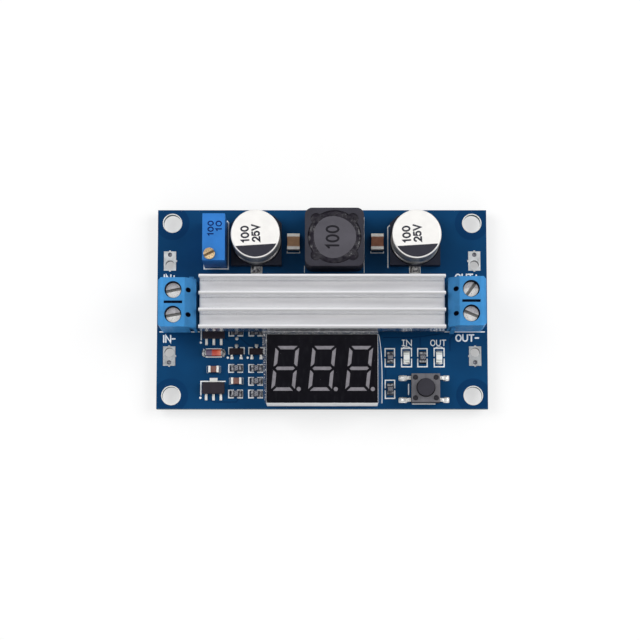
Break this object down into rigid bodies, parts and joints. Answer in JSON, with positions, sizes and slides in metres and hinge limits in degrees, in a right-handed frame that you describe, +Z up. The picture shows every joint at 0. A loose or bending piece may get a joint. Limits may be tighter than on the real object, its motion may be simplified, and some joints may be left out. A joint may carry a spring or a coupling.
{
  "type": "boost converter module",
  "caption": "Step-up converter board with screw terminals, finned heatsink, can capacitors, shielded inductor, trimmer, numeric display and push switch.",
  "frame": {"origin": "centre of the mounting-hole pattern on the underside of the board", "axes": "+X from the input terminal to the output terminal, +Y from the display to the inductor, +Z up out of the component side"},
  "size_m": [0.0678, 0.0412, 0.0139],
  "materials": {
    "laminate": "blue solder mask over glass laminate",
    "tinned_metal": "tinned",
    "terminal_plastic": "satin blue",
    "screw_steel": "nickel plated",
    "trimmer_plastic": "smooth blue",
    "brass": "turned",
    "can_aluminium": "pale satin",
    "black_plastic": "satin black",
    "ferrite": "fine-grained dark grey",
    "copper_wire": "enamelled",
    "glue": "glossy black",
    "brown_ceramic": "fired ceramic",
    "heatsink_aluminium": "bright extruded",
    "adhesive": "cured paste",
    "moulded_epoxy": "fine matt",
    "display_plastic": "pale grey",
    "display_black": "black print",
    "display_segment": "milky grey, unlit",
    "clear_film": "thin clear film",
    "cover_steel": "dark plated",
    "diode_glass": "orange glass",
    "white_ceramic": "alumina",
    "lamp_base": "pale laminate",
    "lamp_lens": "milky resin"
  },
  "bodies": {
    "module": {"circuit_board": "laminate", "wire_pads": "tinned_metal", "input_terminal_housing": "terminal_plastic", "output_terminal_housing": "terminal_plastic", "input_terminal_pins": "tinned_metal", "output_terminal_pins": "tinned_metal", "trimmer_body": "trimmer_plastic", "trimmer_pins": "tinned_metal", "input_capacitor_can": "can_aluminium", "input_capacitor_base": "black_plastic", "input_capacitor_leads": "tinned_metal", "output_capacitor_can": "can_aluminium", "output_capacitor_base": "black_plastic", "output_capacitor_leads": "tinned_metal", "inductor_shield": "ferrite", "inductor_core": "ferrite", "inductor_winding": "copper_wire", "inductor_terminals": "tinned_metal", "inductor_glue": "glue", "ceramic_bodies": "brown_ceramic", "ceramic_ends": "tinned_metal", "heatsink": "heatsink_aluminium", "thermal_adhesive": "adhesive", "power_transistor_body": "moulded_epoxy", "power_transistor_metal": "tinned_metal", "rectifier_body": "moulded_epoxy", "rectifier_metal": "tinned_metal", "controller_bodies": "moulded_epoxy", "controller_leads": "tinned_metal", "display_housing": "display_plastic", "display_face": "display_black", "display_segments": "display_segment", "display_pins": "tinned_metal", "display_film": "clear_film", "switch_base": "black_plastic", "switch_cover": "cover_steel", "switch_dome": "screw_steel", "switch_leads": "tinned_metal", "regulator_bodies": "moulded_epoxy", "regulator_leads": "tinned_metal", "transistor_bodies": "moulded_epoxy", "transistor_leads": "tinned_metal", "diode_glass": "diode_glass", "diode_ends": "tinned_metal", "resistor_bodies": "white_ceramic", "resistor_coats": "display_black", "resistor_ends": "tinned_metal", "lamp_bases": "lamp_base", "lamp_lenses": "lamp_lens"},
    "switch_button": {"switch_button": "black_plastic"},
    "trimmer_screw": {"trimmer_screw": "brass"},
    "input_plus_screw": {"input_plus_screw": "screw_steel"},
    "input_plus_clamp": {"input_plus_clamp": "screw_steel"},
    "input_minus_screw": {"input_minus_screw": "screw_steel"},
    "input_minus_clamp": {"input_minus_clamp": "screw_steel"},
    "output_plus_screw": {"output_plus_screw": "screw_steel"},
    "output_plus_clamp": {"output_plus_clamp": "screw_steel"},
    "output_minus_screw": {"output_minus_screw": "screw_steel"},
    "output_minus_clamp": {"output_minus_clamp": "screw_steel"}
  },
  "joints": [
    {"name": "button_press", "type": "slide", "parent": "module", "child": "switch_button", "axis": [0, 0, -1], "range_m": [0, 0.00025], "stiffness_N_per_m": 400, "deforming": ["switch_dome"]},
    {"name": "trimmer_turn", "type": "hinge", "parent": "module", "child": "trimmer_screw", "pos_m": [-0.02275, 0.00987, 0.0116], "axis": [0, 0, 1], "continuous": true},
    {"name": "input_plus_turn", "type": "hinge", "parent": "module", "child": "input_plus_screw", "pos_m": [-0.03, 0.0026, 0.0104], "axis": [0, 0, -1], "range_deg": [0, 1440]},
    {"name": "input_plus_rise", "type": "slide", "parent": "module", "child": "input_plus_clamp", "axis": [0, 0, 1], "range_m": [0, 0.002]},
    {"name": "input_minus_turn", "type": "hinge", "parent": "module", "child": "input_minus_screw", "pos_m": [-0.03, -0.0024, 0.0104], "axis": [0, 0, -1], "range_deg": [0, 1440]},
    {"name": "input_minus_rise", "type": "slide", "parent": "module", "child": "input_minus_clamp", "axis": [0, 0, 1], "range_m": [0, 0.002]},
    {"name": "output_plus_turn", "type": "hinge", "parent": "module", "child": "output_plus_screw", "pos_m": [0.03, 0.00285, 0.0104], "axis": [0, 0, -1], "range_deg": [0, 1440]},
    {"name": "output_plus_rise", "type": "slide", "parent": "module", "child": "output_plus_clamp", "axis": [0, 0, 1], "range_m": [0, 0.002]},
    {"name": "output_minus_turn", "type": "hinge", "parent": "module", "child": "output_minus_screw", "pos_m": [0.03, -0.00215, 0.0104], "axis": [0, 0, -1], "range_deg": [0, 1440]},
    {"name": "output_minus_rise", "type": "slide", "parent": "module", "child": "output_minus_clamp", "axis": [0, 0, 1], "range_m": [0, 0.002]}
  ],
  "couplings": [
    {"joint": "input_plus_turn", "follows": "input_plus_rise", "rad_per_m": 12566},
    {"joint": "input_minus_turn", "follows": "input_minus_rise", "rad_per_m": 12566},
    {"joint": "output_plus_turn", "follows": "output_plus_rise", "rad_per_m": 12566},
    {"joint": "output_minus_turn", "follows": "output_minus_rise", "rad_per_m": 12566}
  ]
}
